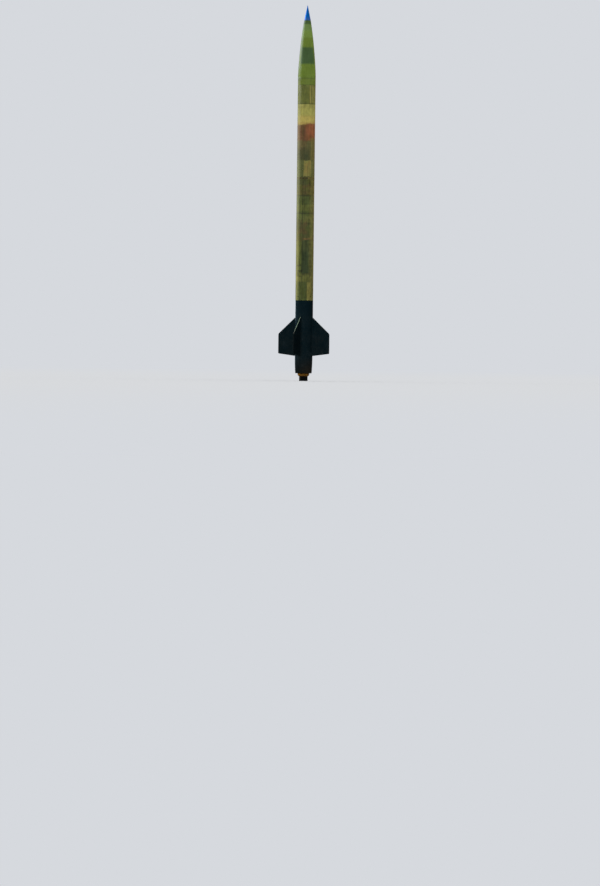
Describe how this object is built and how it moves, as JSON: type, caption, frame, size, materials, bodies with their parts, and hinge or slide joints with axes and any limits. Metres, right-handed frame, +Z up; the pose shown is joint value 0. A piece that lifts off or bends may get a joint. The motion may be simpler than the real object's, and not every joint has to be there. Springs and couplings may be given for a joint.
{
  "type": "high-power sounding rocket",
  "caption": "Slender fibreglass sounding rocket with pointed nose, avionics bay, fin can, tail cone and retained motor, standing on its motor end.",
  "frame": {"origin": "middle of the motor end's flat face, on the surface the rocket stands on", "axes": "+Z up along the rocket to its point, +Y towards the rail buttons"},
  "size_m": [0.3478, 0.3478, 3.324],
  "materials": {
    "glass_nose": "bare yellow-green filament-wound glass fibre, satin gloss",
    "glass_tube": "bare olive filament-wound glass fibre, darker where parts lie behind it",
    "glass_coupler": "bare glass fibre coupler tube, sanded",
    "dark_band": "dark olive glass fibre band",
    "laminate_plate": "glass fibre board, machined edges",
    "black_laminate": "black woven laminate, satin gloss",
    "blue_metal": "blue anodised aluminium, turned",
    "gold_metal": "gold anodised aluminium, turned",
    "dark_metal": "black anodised aluminium, turned",
    "case_metal": "plain aluminium",
    "graphite": "machined graphite, sooty",
    "steel": "zinc-plated steel",
    "black_plastic": "black acetal"
  },
  "bodies": {
    "booster": {"booster_tube": "glass_tube", "fin_can": "black_laminate", "fin_front_left": "black_laminate", "fin_front_right": "black_laminate", "fin_back_right": "black_laminate", "fin_back_left": "black_laminate", "tail_cone": "black_laminate", "motor_case": "case_metal", "motor_closure": "dark_metal", "nozzle": "graphite", "motor_front_ring": "laminate_plate", "retainer_body": "dark_metal", "retainer_ring": "gold_metal", "rail_button_lower": "black_plastic", "rail_button_upper": "black_plastic"},
    "payload_section": {"payload_tube": "glass_tube", "bay_coupler": "glass_coupler", "switch_band": "dark_band", "bay_plate_lower": "laminate_plate", "bay_plate_upper": "laminate_plate", "bay_u_bolt_lower": "steel", "bay_u_bolt_upper": "steel", "bay_rod_left": "steel", "bay_rod_right": "steel"},
    "nose": {"nose_cone": "glass_nose", "nose_tip": "blue_metal", "nose_collar": "glass_nose", "nose_shoulder": "glass_coupler", "nose_bulkhead": "laminate_plate", "nose_u_bolt": "steel"}
  },
  "joints": [
    {"name": "payload_slide", "type": "slide", "parent": "booster", "child": "payload_section", "axis": [0, 0, 1], "range_m": [0, 0.22]},
    {"name": "nose_slide", "type": "slide", "parent": "payload_section", "child": "nose", "axis": [0, 0, 1], "range_m": [0, 0.235]}
  ]
}
